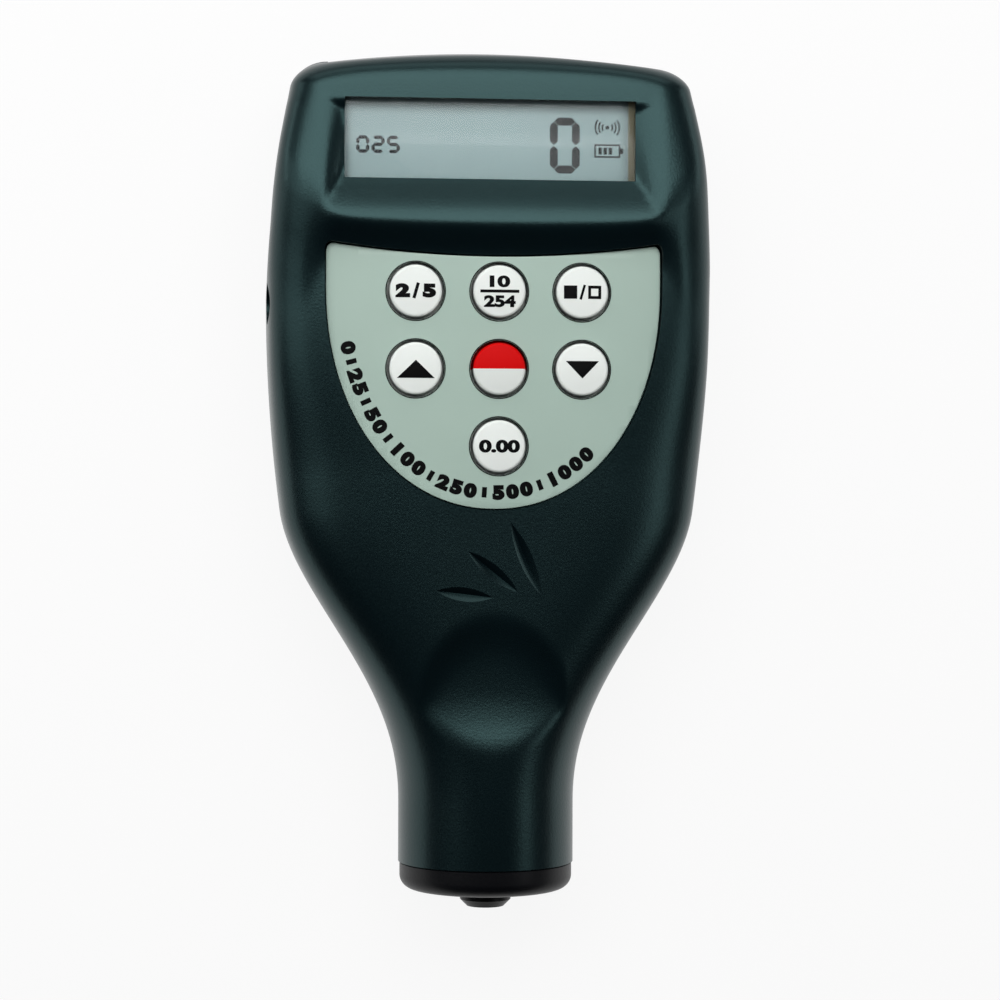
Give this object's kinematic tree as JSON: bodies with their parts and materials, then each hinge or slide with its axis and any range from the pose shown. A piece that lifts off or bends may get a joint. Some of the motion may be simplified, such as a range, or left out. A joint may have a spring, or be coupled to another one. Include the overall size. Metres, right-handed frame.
{
  "type": "coating thickness gauge",
  "caption": "Handheld coating thickness gauge with hooded segment display, round keys on a crowned panel, and a sprung probe in the end of its round neck.",
  "frame": {"origin": "centre of the bounding box, at the table that the back lies on", "axes": "+Y from the probe to the display end, +Z out of the face, +X to the right as the face is read"},
  "size_m": [0.065, 0.126, 0.027],
  "materials": {
    "housing": "fine spark-eroded grain, satin",
    "nose_plastic": "turned black plastic, satin",
    "panel": "satin printed film",
    "window": "clear acrylic",
    "display": "reflective segment display",
    "carrier": "moulded",
    "strip_rubber": "layered contact rubber",
    "mat_rubber": "silicone",
    "board": "solder mask over laminate",
    "chip_plastic": "moulded black",
    "key_white": "satin white",
    "key_two_tone": "upper half red, lower half white",
    "cell": "printed sleeve",
    "steel": "nickel-plated spring steel",
    "core_steel": "ground and plated",
    "copper": "enamelled winding",
    "lead_sleeve": "insulated lead"
  },
  "bodies": {
    "housing": {"front_shell": "housing", "rear_shell": "housing", "end_cap": "nose_plastic", "probe_housing": "nose_plastic", "key_panel": "panel", "lcd_window": "window", "lcd_glass": "display", "lcd_frame": "carrier", "contact_strips": "strip_rubber", "key_mat": "mat_rubber", "main_board": "board", "board_parts": "chip_plastic", "data_jack": "chip_plastic", "battery_springs": "steel", "contact_plates": "steel", "case_screws": "steel", "probe_spring": "steel", "probe_leads": "lead_sleeve", "battery_1": "cell", "battery_2": "cell", "battery_3": "cell", "battery_4": "cell"},
    "probe": {"probe_sleeve": "nose_plastic", "probe_core": "core_steel", "probe_coil": "copper"},
    "door": {"battery_door": "housing"},
    "key_mode": {"key_mode": "key_white"},
    "key_unit": {"key_unit": "key_white"},
    "key_metal": {"key_metal": "key_white"},
    "key_up": {"key_up": "key_white"},
    "key_power": {"key_power": "key_two_tone"},
    "key_down": {"key_down": "key_white"},
    "key_zero": {"key_zero": "key_white"}
  },
  "joints": [
    {"name": "probe_press", "type": "slide", "parent": "housing", "child": "probe", "axis": [0, 1, 0], "range_m": [0, 0.002], "stiffness_N_per_m": 500, "springref_m": -0.002, "deforming": ["probe_spring"]},
    {"name": "door_slide", "type": "slide", "parent": "housing", "child": "door", "axis": [0, 1, 0], "range_m": [0, 0.06]},
    {"name": "press_mode", "type": "slide", "parent": "housing", "child": "key_mode", "axis": [0, 0, -1], "range_m": [0, 0.0005], "stiffness_N_per_m": 800, "springref_m": -0.0005, "deforming": ["key_mat"]},
    {"name": "press_unit", "type": "slide", "parent": "housing", "child": "key_unit", "axis": [0, 0, -1], "range_m": [0, 0.0005], "stiffness_N_per_m": 800, "springref_m": -0.0005, "deforming": ["key_mat"]},
    {"name": "press_metal", "type": "slide", "parent": "housing", "child": "key_metal", "axis": [0, 0, -1], "range_m": [0, 0.0005], "stiffness_N_per_m": 800, "springref_m": -0.0005, "deforming": ["key_mat"]},
    {"name": "press_up", "type": "slide", "parent": "housing", "child": "key_up", "axis": [0, 0, -1], "range_m": [0, 0.0005], "stiffness_N_per_m": 800, "springref_m": -0.0005, "deforming": ["key_mat"]},
    {"name": "press_power", "type": "slide", "parent": "housing", "child": "key_power", "axis": [0, 0, -1], "range_m": [0, 0.0005], "stiffness_N_per_m": 800, "springref_m": -0.0005, "deforming": ["key_mat"]},
    {"name": "press_down", "type": "slide", "parent": "housing", "child": "key_down", "axis": [0, 0, -1], "range_m": [0, 0.0005], "stiffness_N_per_m": 800, "springref_m": -0.0005, "deforming": ["key_mat"]},
    {"name": "press_zero", "type": "slide", "parent": "housing", "child": "key_zero", "axis": [0, 0, -1], "range_m": [0, 0.0005], "stiffness_N_per_m": 800, "springref_m": -0.0005, "deforming": ["key_mat"]}
  ]
}
